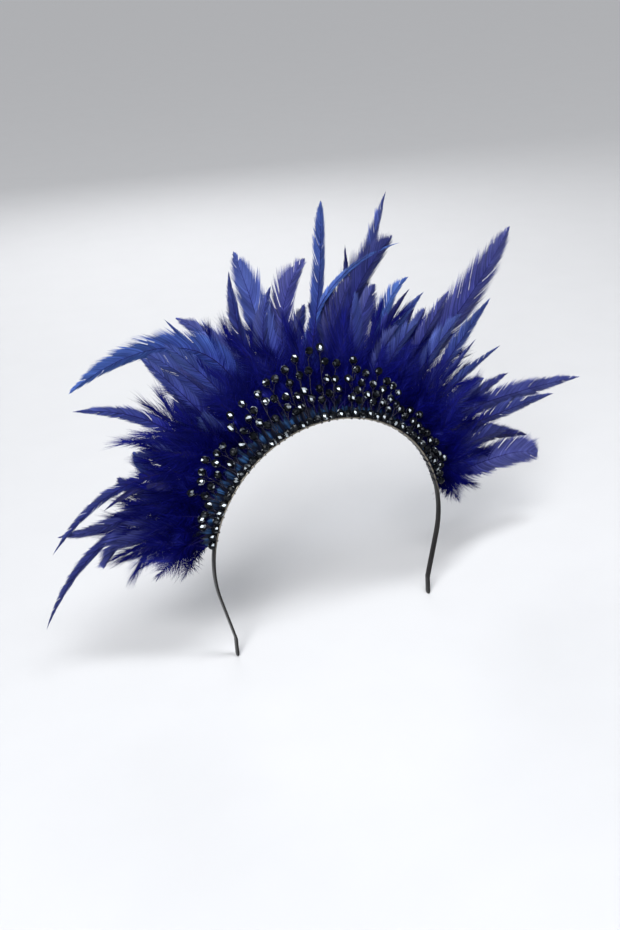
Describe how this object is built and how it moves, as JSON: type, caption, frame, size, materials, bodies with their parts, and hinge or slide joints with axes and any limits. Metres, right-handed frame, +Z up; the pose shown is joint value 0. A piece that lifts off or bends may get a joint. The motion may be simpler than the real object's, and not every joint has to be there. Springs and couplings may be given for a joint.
{
  "type": "bridal crown",
  "caption": "Headband crown for a bride or the stage: faceted crystal beads on wire sprays before a fan of royal blue cock feathers.",
  "frame": {"origin": "middle of the band's inner face at the top of its arch, where the crown sits on the head", "axes": "+Z up out of the head, -Y towards the front where the beads show, +X along the widest extent to the right as seen from the front"},
  "size_m": [0.3532, 0.0381, 0.2343],
  "materials": {
    "steel": "dark gunmetal spring steel",
    "crystal": "faceted crystal with a dark hematite coating, on dark wire",
    "satin": "steel blue satin",
    "feather": "dyed royal blue cock hackles with downy bases"
  },
  "bodies": {
    "root": {"headband": "steel", "bead_row": "crystal", "bead_sprays_left": "crystal", "bead_sprays_right": "crystal", "satin_tape": "satin", "feather_fan": "feather"}
  },
  "joints": []
}
